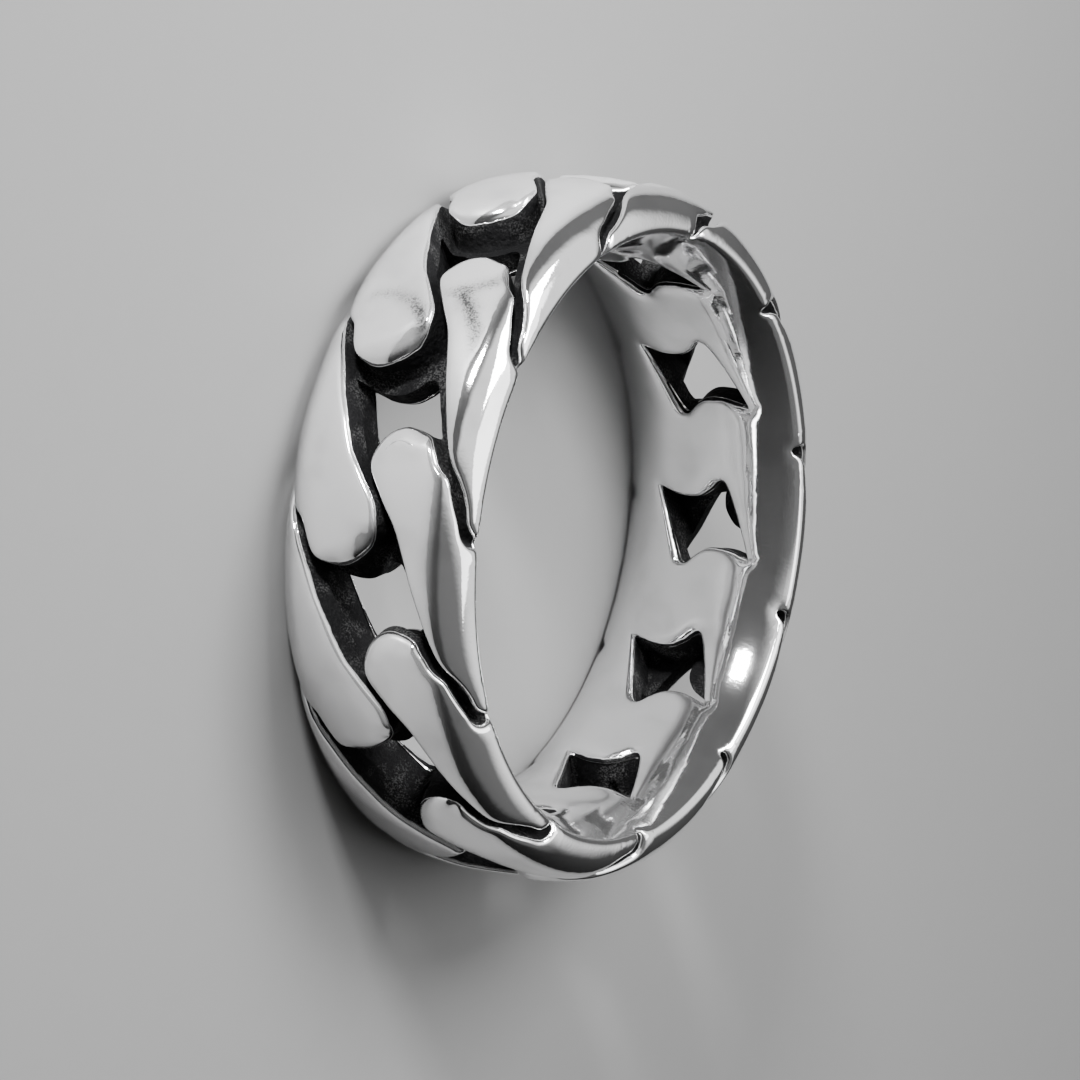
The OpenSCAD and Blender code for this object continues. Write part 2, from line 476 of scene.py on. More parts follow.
@dataclass(frozen=True)
class Window:
    """One type of window, where it lies along its link, and the cutter that opens it."""

    lean: Lean
    shift: float
    length: float = 3.1
    width: float = 3.9
    step: float = 0.12
    growth: float = 0.04
    cut_from: float = 10.2
    cut_to: float = 11.6

    def outline(self) -> np.ndarray:
        """Closed smooth outline about the window's own middle.

        Returns:
            Points, along and up, anticlockwise.
        """
        corner = np.array(WINDOW_OUTLINE) * (self.length / 2, self.width / 2 * self.lean.value)
        if self.lean is Lean.WITH_LINKS:
            corner = corner[::-1]
        return smooth_line(np.vstack([corner[-1:], corner, corner[:2]]), self.step)

    def normals(self, line: np.ndarray) -> np.ndarray:
        """Directions that point into the window from its outline.

        Args:
            line: The outline's points.

        Returns:
            Unit directions.
        """
        run = np.roll(line, -1, axis=0) - np.roll(line, 1, axis=0)
        normal = np.column_stack([-run[:, 1], run[:, 0]])
        return normal / np.linalg.norm(normal, axis=1, keepdims=True)

    def reading(self, points: np.ndarray) -> np.ndarray:
        """Distances from the outline.

        Args:
            points: Points about the window's own middle.

        Returns:
            Distances, positive inside the window.
        """
        line = self.outline()
        after, inside = np.roll(line, -1, axis=0), np.zeros(len(points), bool)
        best = np.full(len(points), FAR_MM)
        for a, b in zip(line, after):
            run = b - a
            t = np.clip(((points - a) @ run) / (run @ run), 0.0, 1.0)[:, None]
            best = np.minimum(best, np.linalg.norm(points - (a + run * t), axis=1))
            crosses = (a[1] > points[:, 1]) != (b[1] > points[:, 1])
            rise = b[1] - a[1] if b[1] != a[1] else TINY
            inside ^= crosses & (points[:, 0] < run[0] * (points[:, 1] - a[1]) / rise + a[0])
        return np.where(inside, best, -best)

    def cutter(self, name: str, section: Section, turn: float) -> bpy.types.Object:
        """Closed prism that cuts the window from its rolled rim out to the recess.

        Args:
            name: Name of the object.
            section: The band's section.
            turn: Angle of the window's middle round the ring.

        Returns:
            The cutter, at the ring's place.
        """
        line = self.outline()
        line = line - self.normals(line) * self.growth
        count = len(line)
        flat = plane_triangles(line)
        middle = line[flat].mean(axis=1)
        flat = flat[self.reading(middle) > -self.growth]
        rows = flat[:, ::-1].tolist() + (flat + count).tolist()
        for i in range(count):
            j = (i + 1) % count
            rows += [[i, j, j + count], [i, j + count, i + count]]
        out = np.repeat([self.cut_from, self.cut_to], count)
        side, up = np.tile(line[:, 0], 2), np.tile(line[:, 1], 2)
        x = out * math.cos(turn) - side * math.sin(turn)
        y = out * math.sin(turn) + side * math.cos(turn)
        place = np.column_stack([x, y, up + section.half_w]) * MM
        return mesh_object(name, place, rows, np.ones(len(place)))


def scene_object(name: str, data: bpy.types.ID) -> bpy.types.Object:
    """Object of a mesh, light or camera, linked to the scene at the origin."""
    made = bpy.data.objects.new(name, data)
    bpy.context.scene.collection.objects.link(made)
    return made


def mesh_object(
    name: str, points: np.ndarray, rows: list[list[int]], under_edge: np.ndarray | None = None
) -> bpy.types.Object:
    """Mesh object at the origin, linked to the scene.

    Args:
        name: Name of the object and its mesh.
        points: Corner points in metres.
        rows: Faces.
        under_edge: Depth of each corner under the nearest polished edge, in millimetres.

    Returns:
        The object.
    """
    mesh = bpy.data.meshes.new(name)
    mesh.from_pydata(points.tolist(), [], rows)
    if under_edge is not None:
        stored = mesh.attributes.new("under_edge", "FLOAT", "POINT")
        stored.data.foreach_set("value", under_edge.astype(np.float32))
    mesh.validate()
    mesh.update()
    return scene_object(name, mesh)


@dataclass(frozen=True)
class LinkRelief:
    """Depths of one link's forms, and the distances over which they run out."""

    nose_power: float = 1.35
    bevel: float = 0.04
    bevel_reach: float = 0.55
    bevel_power: float = 1.15
    crease_half: float = 0.1
    crease_black: float = 0.13
    least_out: float = 0.3
    bed_across: Triple = (4.2, 4.6, 4.9)
    bed_end: Pair = (0.5, 0.2)
    slot_blend: Pair = (2.45, 3.1)
    slot_sharper: float = 0.45


@dataclass(frozen=True)
class Spacing:
    """Gaps that keep a cell's corner points apart, and the counts of its rows.

    Names that begin with inside are for the inside's sheet. A border pair says how far
    points stay off the cell's border, along and across. A slack pair says how far a
    loop's point may miss the loop's own distance: a fixed part, and a share of it.
    """

    on_border: float = 1e-4
    on_cut: float = 0.02
    steady_rows: float = 0.16
    steady: float = 0.07
    cut_samples: int = 4001
    loop: float = 0.028
    far_loop: float = 0.08
    loop_is_far: float = 0.3
    rim: float = 0.06
    rim_rows: int = 7
    rim_before: float = 0.15
    rim_after: float = 0.05
    face: float = 0.22
    face_share: float = 0.62
    face_inset: float = 0.62
    floor: float = 0.17
    floor_least: float = 0.1
    floor_inset: float = 0.3
    rim_inset: float = 0.16
    loop_border: Pair = (0.035, 0.06)
    fill_border: Pair = (0.07, 0.1)
    loop_slack: Pair = (0.012, 0.06)
    inside: float = 0.24
    inside_share: float = 0.7
    inside_rows: int = 25
    inside_loop: float = 0.022
    inside_far_loop: float = 0.09
    inside_loop_is_far: float = 0.2
    inside_border: Pair = (0.05, 0.08)
    inside_fill_border: Pair = (0.08, 0.1)
    inside_slack: Pair = (0.01, 0.06)
    jitter: float = 0.12
    nudge: float = 0.001
    stagger: float = 0.87


@dataclass
class LinkCell:
    """One link's length of the band, as a mesh that joins its neighbours all round.

    Its two sheets are worked out flat, the outer one at plane_r and the inside at the
    bore, and meet at the seams. The inside begins inside_cut steps of the seam's corner
    points farther on, so that the window lies well within it.
    """

    section: Section
    window: Window
    links: int
    edge_count: int = 36
    extra_loops: Pair = (-0.36, -0.55)
    plane_r: float = 12.2
    inside_cut: int = 5
    copies: tuple[int, ...] = (-3, -2, -1, 0, 1, 2)
    seed: int = 7
    relief: LinkRelief = LinkRelief()
    gaps: Spacing = Spacing()

    @property
    def pitch(self) -> float:
        """Angle from link to link, in radians."""
        return 2 * math.pi / self.links

    @property
    def link_mm(self) -> float:
        """Length of a link on the outer sheet's plane."""
        return self.plane_r * self.pitch

    @property
    def inside_mm(self) -> float:
        """Length of a link on the inside's plane."""
        return self.section.bore_r * self.pitch

    def edges(self) -> tuple[EdgeCurve, EdgeCurve]:
        """The upper and the lower row's edges."""
        upper = {"nose": 0.24, "nose_reach": 0.55, "nose_half": 0.85, "nose_middle": 0.65}
        lower = {"nose": 0.34, "nose_reach": 0.62, "nose_half": 0.8, "nose_middle": 0.9}
        return (
            EdgeCurve(Row.UPPER, UPPER_EDGE, self.link_mm, **upper),
            EdgeCurve(Row.LOWER, LOWER_EDGE, self.link_mm, **lower),
        )

    def depth(self, points: np.ndarray) -> tuple[np.ndarray, ...]:
        """Depths of the links and the recess under the section's outline.

        Args:
            points: Points of the outer sheet's plane.

        Returns:
            Depths, distances past the nearest link's edge, and depths under that edge.
        """
        upper, lower = self.edges()
        form = self.relief
        d_up, tip_up = upper.reading(points)
        d_low, tip_low = lower.reading(points)
        above = d_up < d_low
        edge = np.where(above, d_up, d_low)
        tip = np.where(above, tip_up * upper.nose, tip_low * lower.nose)
        reach = np.where(above, upper.nose_reach, lower.nose_reach)
        r, _, out_r, _ = self.section.outline(points[:, 1])
        side = np.abs(points[:, 1])
        floor = (r - self.section.floor_r) / np.maximum(out_r, form.least_out)
        bed = np.interp(side, form.bed_across, [self.section.slot_depth, *form.bed_end])
        blend = smooth_step(side, *form.slot_blend)
        whole = floor * (1 - blend) + bed * blend
        knots = np.array(EDGE_PROFILE)
        rounding = np.interp(edge, knots[:, 0], knots[:, 1])
        share = np.interp(edge, knots[:, 0], knots[:, 2])
        inwards = np.clip(-edge, 0.0, None)
        nose = tip * np.clip(1 - inwards / reach, 0.0, None) ** form.nose_power
        valley = np.exp(-(((inwards - reach) / form.crease_half) ** 2))
        crease = np.where(above, tip_up, tip_low) * valley
        bevel = np.clip(1 - inwards / form.bevel_reach, 0.0, None) ** form.bevel_power
        slope = np.where(above, upper.tip_slope(points), lower.tip_slope(points))
        rounding *= 1 - form.slot_sharper * blend
        wall = rounding + share * (whole - rounding)
        black = np.maximum(wall, form.crease_black * crease)
        return (nose + form.bevel * bevel + slope) * (1 - share) + wall, edge, black

    def cut_line(self) -> np.ndarray:
        """Places across of the corner points on the line between two cells.

        Returns:
            Sorted places, from one seam to the other.
        """
        half, gaps = self.section.seam, self.gaps
        fine = np.linspace(-half, half, gaps.cut_samples)
        line = np.column_stack([np.full(len(fine), self.link_mm / 2), fine])
        _, edge, _ = self.depth(line)
        places = [
            fine[i]
            for knot in self.loop_offsets()
            for i in np.nonzero((edge[:-1] < knot) != (edge[1:] < knot))[0]
        ]
        steady = list(np.arange(-half, half, gaps.steady_rows)) + list(self.rim_rows())
        groups = PointGroups()
        for values, gap in (([-half, half] + places, gaps.on_cut), (steady, gaps.steady)):
            groups.add(np.column_stack([values, np.zeros(len(values))]), gap)
        return np.sort(groups.thinned()[:, 0])

    def loop_offsets(self) -> list[float]:
        """Distances past a link's edge at which loops of corner points lie."""
        return [knot[0] for knot in EDGE_PROFILE] + list(self.extra_loops)

    def rim_rows(self) -> np.ndarray:
        """Places across of the close rows of corners round both rims."""
        s, gaps = self.section, self.gaps
        first, last = s.half_len - gaps.rim_before, s.rim_end + gaps.rim_after
        rim = np.linspace(first, last, gaps.rim_rows)
        return np.concatenate([-rim, rim])

    def outer_points(self) -> tuple[np.ndarray, int]:
        """Corner points of the outer sheet's plane, the border's first.

        Returns:
            The points, and how many of them lie on the border.
        """
        s, gaps, half = self.section, self.gaps, self.link_mm / 2
        rows = np.linspace(-half, half, self.edge_count + 1)
        cut = self.cut_line()
        border = [(x, side * s.seam) for side in (-1, 1) for x in rows]
        border += [(side * half, y) for side in (-1, 1) for y in cut[1:-1]]
        groups = PointGroups()
        groups.add(np.array(border), gaps.on_border)
        for away in sorted(self.loop_offsets(), key=abs):
            gap = gaps.loop if abs(away) < gaps.loop_is_far else gaps.far_loop
            for curve in self.edges():
                groups.add(self.loop(curve, away), gap)
        rng = np.random.default_rng(self.seed)
        half_x = half - gaps.fill_border[0]
        fill = self.scatter(rng, half_x, s.seam - gaps.fill_border[1], gaps.face)
        dark = self.scatter(rng, half_x, s.half_len, gaps.floor)
        rim = np.array([(x, y) for y in self.rim_rows() for x in rows[1:-1]])
        groups.add(rim[self.depth(rim)[1] < -gaps.rim_inset], gaps.rim)
        groups.add(fill[self.depth(fill)[1] < -gaps.face_inset], gaps.face_share * gaps.face)
        groups.add(dark[self.depth(dark)[1] > gaps.floor_inset], gaps.floor_least)
        return groups.thinned(), len(border)

    def loop(self, curve: EdgeCurve, away: float) -> np.ndarray:
        """Corner points at one distance past a row's edge, within the cell's border.

        Args:
            curve: The row's edge.
            away: Distance past it, negative on the link.

        Returns:
            The points, without those that lie nearer another part of an edge.
        """
        base, gaps = curve.offset(away), self.gaps
        ring = np.vstack([base + (c * self.link_mm, 0.0) for c in self.copies])
        ring = ring[np.abs(ring[:, 0]) < self.link_mm / 2 - gaps.loop_border[0]]
        ring = ring[np.abs(ring[:, 1]) < self.section.seam - gaps.loop_border[1]]
        slack = gaps.loop_slack[0] + gaps.loop_slack[1] * abs(away)
        return ring[np.abs(self.depth(ring)[1] - away) < slack]

    def scatter(
        self, rng: np.random.Generator, half_x: float, half_y: float, gap: float
    ) -> np.ndarray:
        """Jittered points in staggered rows.

        Args:
            rng: Seeded source of the jitter.
            half_x: Half the length that they cover.
            half_y: Half the width that they cover.
            gap: Distance between neighbours.

        Returns:
            The points.
        """
        rows = []
        for i, y in enumerate(np.arange(-half_y, half_y, gap * self.gaps.stagger)):
            x = np.arange(-half_x, half_x, gap) + (gap / 2 if i % 2 else 0.0)
            x = x[x < half_x]
            rows.append(np.column_stack([x, np.full(len(x), y)]))
        points = np.vstack(rows)
        return points + rng.uniform(-self.gaps.jitter, self.gaps.jitter, points.shape) * gap

    def outer_sheet(self) -> tuple[np.ndarray, ...]:
        """One cell's outer side.

        Returns:
            Corner points, triangles, and depths under the nearest link's edge.
        """
        s, most = self.section, self.gaps.nudge
        points, border = self.outer_points()
        nudge = np.random.default_rng(self.seed).uniform(-most, most, points.shape)
        nudge[:border] = 0.0
        points = points + nudge
        rows = plane_triangles(points)
        depth, _, wall = self.depth(points)
        r, z, out_r, out_z = s.outline(points[:, 1])
        depth = np.where(np.abs(points[:, 1]) > s.seam - SAME_POINT_MM, 0.0, depth)
        r, z = r - depth * out_r, z - depth * out_z
        angle = points[:, 0] / self.link_mm * self.pitch
        place = np.column_stack([r * np.cos(angle), r * np.sin(angle), z + s.half_w])
        return place, rows, wall

    def inside_sheet(self) -> tuple[np.ndarray, ...]:
        """One cell's inside, with the rolled rim of its window.

        Returns:
            Corner points, triangles, and depths under the inside's face.
        """
        s, gaps = self.section, self.gaps
        top = float(s.outline(np.array([s.seam]))[1][0])
        low = (self.inside_cut / self.edge_count - 0.5) * self.inside_mm
        high = low + self.inside_mm
        along = np.linspace(low, high, self.edge_count + 1)
        up = np.linspace(-top, top, gaps.inside_rows)
        border = [(x, z) for z in (-top, top) for x in along]
        border += [(x, z) for x in (low, high) for z in up[1:-1]]
        groups = PointGroups()
        groups.add(np.array(border), gaps.on_border)
        middle = np.array([self.window.shift * self.inside_mm, 0.0])
        line = self.window.outline()
        normal = self.window.normals(line)
        edge_x, edge_y = gaps.inside_border
        for away, _ in sorted(WINDOW_PROFILE, key=lambda k: abs(k[0])):
            ring = line + normal * away
            slack = gaps.inside_slack[0] + gaps.inside_slack[1] * abs(away)
            ring = ring[np.abs(self.window.reading(ring) - away) < slack] + middle
            inner = (ring[:, 0] > low + edge_x) & (ring[:, 0] < high - edge_x)
            inner &= np.abs(ring[:, 1]) < top - edge_y
            near = abs(away) < gaps.inside_loop_is_far
            groups.add(ring[inner], gaps.inside_loop if near else gaps.inside_far_loop)
        rng = np.random.default_rng(self.seed)
        edge_x, edge_y = gaps.inside_fill_border
        fill = self.scatter(rng, self.inside_mm / 2 - edge_x, top - edge_y, gaps.inside)
        groups.add(fill + ((low + high) / 2, 0.0), gaps.inside_share * gaps.inside)
        points = groups.thinned()
        nudge = rng.uniform(-gaps.nudge, gaps.nudge, points.shape)
        nudge[: len(border)] = 0.0
        points = points + nudge
        rows = plane_triangles(points)[:, ::-1]
        knots = np.array(WINDOW_PROFILE)
        edge = self.window.reading(points - middle)
        depth = np.interp(edge, knots[:, 0], knots[:, 1])
        on_border = (points[:, 0] <= low) | (points[:, 0] >= high)
        depth[on_border | (np.abs(points[:, 1]) >= top)] = 0.0
        r = s.inside(points[:, 1]) + depth
        angle = points[:, 0] / self.inside_mm * self.pitch
        place = np.column_stack([r * np.cos(angle), r * np.sin(angle), points[:, 1] + s.half_w])
        return place, rows, depth

    def build(self, name: str) -> bpy.types.Object:
        """Both sheets of the cell in one mesh object, welded only later, round the ring."""
        outer, outer_rows, outer_edge = self.outer_sheet()
        inner, inner_rows, inner_edge = self.inside_sheet()
        rows = np.vstack([outer_rows, inner_rows + len(outer)])
        under_edge = np.concatenate([outer_edge, inner_edge])
        return mesh_object(name, np.vstack([outer, inner]) * MM, rows.tolist(), under_edge)


class Nodes:
    """A node tree of any kind, built by short calls."""

    def __init__(self, tree: bpy.types.NodeTree) -> None:
        """Takes the tree that the calls build."""
        self.tree = tree

    def sockets(self, in_out: str, kinds: dict[str, str]) -> None:
        """Makes a group's inputs or outputs from their names and kinds."""
        for label, kind in kinds.items():
            self.tree.interface.new_socket(label, in_out=in_out, socket_type=f"NodeSocket{kind}")

    def put(self, socket: bpy.types.NodeSocket, value: object) -> None:
        """Links a socket to an input, or sets the input to a plain value."""
        if isinstance(value, bpy.types.NodeSocket):
            self.tree.links.new(value, socket)
        else:
            socket.default_value = value

    def node(
        self, kind: str, inputs: dict[str, object] | None = None, **settings: object
    ) -> bpy.types.Node:
        """New node of a kind.

        Args:
            kind: Type name of the node.
            inputs: Sockets or plain values by the names of the inputs that take them.
            settings: Values of the node's own settings.

        Returns:
            The node.
        """
        made = self.tree.nodes.new(kind)
        for label, value in settings.items():
            setattr(made, label, value)
        for label, value in (inputs or {}).items():
            self.put(made.inputs[label], value)
        return made

    def math(self, operation: str, *values: object) -> bpy.types.NodeSocket:
        """Output of a math node whose inputs are sockets or numbers."""
        made = self.node("ShaderNodeMath", operation=operation)
        for socket, value in zip(made.inputs, values):
            self.put(socket, value)
        return made.outputs[0]

    def ramp(self, value: object, ends: Pair, values: Pair = (0.0, 1.0)) -> bpy.types.NodeSocket:
        """Eased change from one value to the other, while a number runs between its ends."""
        labels = ("Value", "From Min", "From Max", "To Min", "To Max")
        inputs = dict(zip(labels, (value, *ends, *values)))
        return self.node("ShaderNodeMapRange", inputs, interpolation_type="SMOOTHSTEP").outputs[0]


class RingTree(Nodes):
    """Geometry Nodes tree that sets two kinds of cell round the ring and welds them."""

    def __init__(self, name: str) -> None:
        """Builds the tree with its named inputs."""
        super().__init__(bpy.data.node_groups.new(name, "GeometryNodeTree"))
        cells = {"Back Cell": "Object", "Front Cell": "Object"}
        counts = {"Links": "Int", "Front Links": "Int"}
        rest = {"Weld": "Float", "Metal": "Material"}
        self.sockets("INPUT", {"Geometry": "Geometry", **cells, **counts, **rest})
        self.sockets("OUTPUT", {"Geometry": "Geometry"})
        self.build()

    def build(self) -> None:
        """Lays out the tree."""
        given = self.node("NodeGroupInput").outputs
        points = self.node("GeometryNodePoints", {"Count": given["Links"]}).outputs[0]
        index = self.node("GeometryNodeInputIndex").outputs[0]
        after = self.math("MODULO", self.math("ADD", index, 1), given["Links"])
        front = self.math("LESS_THAN", after, given["Front Links"])
        step = self.math("DIVIDE", 2 * math.pi, given["Links"])
        angle = self.math("MULTIPLY", index, step)
        turn = self.node("ShaderNodeCombineXYZ", {"Z": angle}).outputs[0]
        both = self.node("GeometryNodeJoinGeometry")
        for label, wanted in (("Back Cell", 0.0), ("Front Cell", 1.0)):
            cell = self.node(
                "GeometryNodeObjectInfo", {"Object": given[label]}, transform_space="ORIGINAL"
            )
            same = {"A": front, "B": wanted, "Epsilon": 0.5}
            chosen = self.node("FunctionNodeCompare", same, data_type="FLOAT", operation="EQUAL")
            inputs = {
                "Points": points,
                "Selection": chosen.outputs[0],
                "Instance": cell.outputs["Geometry"],
                "Rotation": turn,
            }
            placed = self.node("GeometryNodeInstanceOnPoints", inputs)
            self.put(both.inputs[0], placed.outputs[0])
        shape = both.outputs[0]
        for kind, inputs in (
            ("RealizeInstances", {}),
            ("MergeByDistance", {"Distance": given["Weld"]}),
            ("SetShadeSmooth", {}),
            ("SetMaterial", {"Material": given["Metal"]}),
        ):
            shape = self.node(f"GeometryNode{kind}", {"Geometry": shape, **inputs}).outputs[0]
        self.node("NodeGroupOutput", {"Geometry": shape})

    def apply(self, carrier: bpy.types.Object, values: dict[str, object]) -> None:
        """Gives an object this tree as a modifier, with its inputs set by identifier.

        Args:
            carrier: Object whose mesh the result takes the place of.
            values: Input values by the inputs' names.
        """
        modifier = carrier.modifiers.new("round_the_ring", "NODES")
        modifier.node_group = self.tree
        for item in self.tree.interface.items_tree:
            if item.item_type == "SOCKET" and item.in_out == "INPUT" and item.name in values:
                modifier[item.identifier] = values[item.name]


def plain_copy(source: bpy.types.Object, name: str) -> bpy.types.Object:
    """Plain mesh object made from an object's evaluated shape; the source goes.

    Args:
        source: Object with live modifiers.
        name: Name of the plain object.

    Returns:
        The plain object.
    """
    bpy.context.view_layer.update()
    graph = bpy.context.evaluated_depsgraph_get()
    mesh = bpy.data.meshes.new_from_object(source.evaluated_get(graph), depsgraph=graph)
    mesh.name = name
    source.modifiers.clear()
    bpy.data.objects.remove(source)
    return scene_object(name, mesh)


@dataclass(frozen=True)
class FileMark:
    """Shallow valley that the file left on one link's face, with grime specks and a painted shade
    along it.

    Its corner points hold degrees round the ring, heights from the ring's middle plane,
    and how strong the mark is there.
    """

    corners: tuple[Triple, ...]
    half_width: float = 0.27
    face_r: float = 12.4
    least_r: float = 11.7

    def share(self, radius: np.ndarray, turn: np.ndarray, height: np.ndarray) -> np.ndarray:
        """How much of the mark each place takes, up to 1 on its line.

        Args:
            radius: Distances from the ring's axis.
            turn: Angles round the ring, in radians.
            height: Heights from the ring's middle plane.

        Returns:
            Shares, which are 0 under the links' faces.
        """
        points = np.column_stack([turn * self.face_r, height])
        corner = np.array(self.corners)
        corner[:, 0] = np.radians(corner[:, 0]) * self.face_r
        nearest, strength = np.full(len(points), FAR_MM), np.zeros(len(points))
        for a, b in zip(corner[:-1], corner[1:]):
            run = (b - a)[:2]
            t = np.clip(((points - a[:2]) @ run) / (run @ run), 0.0, 1.0)
            away = np.linalg.norm(points - (a[:2] + run * t[:, None]), axis=1)
            strength = np.where(away < nearest, a[2] + (b[2] - a[2]) * t, strength)
            nearest = np.minimum(nearest, away)
        share = strength * np.exp(-((nearest / self.half_width) ** 2))
        return np.where(radius > self.least_r, share, 0.0)


# The marks that show: under an upper link's cap, down from there, and round the oval
# facet on the tip of the lower link beside it.
CAP_MARK: tuple[Triple, ...] = (
    (-17.6, 0.85, 0.40), (-18.2, 1.30, 1.00), (-19.6, 1.74, 0.60), (-21.5, 2.20, 0.70),
    (-23.6, 2.35, 0.20),
)
FACE_MARK: tuple[Triple, ...] = (
    (-18.0, 1.32, 1.00), (-15.4, 1.86, 1.00), (-12.0, 2.40, 0.80), (-8.3, 2.62, 0.45),
    (-4.3, 2.86, 0.15),
)
FACET_MARK: tuple[Triple, ...] = (
    (-14.6, -2.33, 0.20), (-16.3, -2.03, 0.45), (-16.5, -1.28, 0.50), (-15.6, -0.50, 0.70),
    (-13.6, 0.12, 1.00), (-11.3, 0.42, 0.90), (-8.9, 0.32, 0.40), (-7.0, 0.05, 0.00),
)


@dataclass(frozen=True)
class HandFinish:
    """Unevenness of the cast and filed surface, and the radii and depths at which it starts."""

    rough: float = 0.05
    rough_depth: Pair = (0.35, 0.8)
    rough_size: float = 2.1
    wave: float = 0.012
    wave_from: Pair = (10.6, 11.4)
    wave_size: float = 0.55
    wave_shift: Triple = (9.0, 4.0, 2.0)
    inside_wall: float = 0.62
    inside_half: float = 2.8
    cut_wall: Pair = (10.35, 11.75)
    cut_half: float = 2.2
    mark_depth: float = 0.04
    marks: tuple[FileMark, ...] = (FileMark(CAP_MARK), FileMark(FACE_MARK), FileMark(FACET_MARK))


@dataclass
class ChainBand:
    """The cast band: its cells set round the ring, its windows cut, and its finish."""

    section: Section = field(default_factory=Section)
    finish: HandFinish = field(default_factory=HandFinish)
    links: int = 11
    front_links: int = 4
    front_shift: float = 0.1
    back_shift: float = 0.19
    weld: float = 0.0008 * MM
    sharp_angle: float = 42.0

    def cells(self) -> dict[str, LinkCell]:
        """The two kinds of cell by the name of the tree's input that takes them."""
        front = Window(Lean.WITH_LINKS, self.front_shift)
        back = Window(Lean.AGAINST_LINKS, self.back_shift)
        return {
            "Back Cell": LinkCell(self.section, back, self.links),
            "Front Cell": LinkCell(self.section, front, self.links),
        }

    def build(self, metal: bpy.types.Material) -> bpy.types.Object:
        """Makes the whole band as one plain mesh.

        Args:
            metal: Material of the band.

        Returns:
            The band's object.
        """
        tree, cells = RingTree("links_round_the_ring"), self.cells()
        shared = {
            "Links": self.links,
            "Front Links": self.front_links,
            "Weld": self.weld,
            "Metal": metal,
        }
        forms = {}
        for form in ("band", "windows"):
            parts = {}
            for label, cell in cells.items():
                name = f"{form}_{label.split()[0].lower()}"
                if form == "band":
                    parts[label] = cell.build(name)
                else:
                    turn = cell.window.shift * cell.pitch
                    parts[label] = cell.window.cutter(name, self.section, turn)
            carrier = mesh_object(f"{form}_carrier", np.zeros((1, 3)), [])
            tree.apply(carrier, {**shared, **parts})
            forms[form] = plain_copy(carrier, f"{form}_form")
            for part in parts.values():
                bpy.data.objects.remove(part)
            LOG.info("%s: %d triangles", form, len(forms[form].data.polygons))
        cut = forms["band"].modifiers.new("open_windows", "BOOLEAN")
        cut.object, cut.operation, cut.solver = forms["windows"], "DIFFERENCE", "MANIFOLD"
        band = plain_copy(forms["band"], "chain_band")
        bpy.data.objects.remove(forms["windows"])
        self.finish_surface(band)
        return band

    def finish_surface(self, band: bpy.types.Object) -> None:
        """Roughens the floor, makes the links uneven as by hand, and stores what is black.

        Args:
            band: The plain band, which is changed in place.
        """
        mesh, s, hand = band.data, self.section, self.finish
        place = np.empty(len(mesh.vertices) * 3)
        mesh.vertices.foreach_get("co", place)
        place = place.reshape(-1, 3) / MM
        radius = np.hypot(place[:, 0], place[:, 1])
        turn = np.arctan2(place[:, 1], place[:, 0])
        height = place[:, 2] - s.half_w
        inside = s.inside(height)
        inner = (radius < inside + hand.inside_wall) & (np.abs(height) < hand.inside_half)
        deep = np.where(inner, np.abs(radius - inside), s.sunk(radius, height))
        rough = smooth_step(deep, *hand.rough_depth)
        shift = Vector(hand.wave_shift)
        uneven = np.array([noise.noise(Vector(p) * hand.rough_size) for p in place])
        crumb = np.array([noise.noise(Vector(p) * hand.wave_size + shift) for p in place])
        push = rough * hand.rough * uneven
        sway = (1 - rough) * hand.wave * crumb * smooth_step(radius, *hand.wave_from)
        # Share of the file marks. It sinks their valleys, and the material paints grey grime
        # specks and a smooth painted shade along them.
        grime_and_shade = np.max([mark.share(radius, turn, height) for mark in hand.marks], axis=0)
        scale = (radius + push - np.abs(sway) - hand.mark_depth * grime_and_shade) / radius
        place[:, 0] *= scale
        place[:, 1] *= scale
        stored = mesh.attributes["under_edge"].data
        under_edge = np.empty(len(stored))
        stored.foreach_get("value", under_edge)
        cut = (radius > hand.cut_wall[0]) & (radius < hand.cut_wall[1])
        cut &= np.abs(height) < hand.cut_half
        stored.foreach_set("value", np.where(cut, 1.0, under_edge).astype(np.float32))
        # Stored for the material, which paints grime specks and a painted shade along the file
        # marks from it.
        file_dirt = mesh.attributes.new("file_dirt", "FLOAT", "POINT")
        file_dirt.data.foreach_set("value", grime_and_shade.astype(np.float32))
        mesh.vertices.foreach_set("co", (place * MM).ravel())
        mesh.set_sharp_from_angle(angle=math.radians(self.sharp_angle))
        mesh.update()


@dataclass(frozen=True)
class Cloud:
    """Size of a grain, in cells to a metre, how much finer detail it holds, and a squash.

    The squash holds factors along the object's axes, which draw the grain into strokes.
    """

    size: float
    detail: float
    squash: Triple | None = None


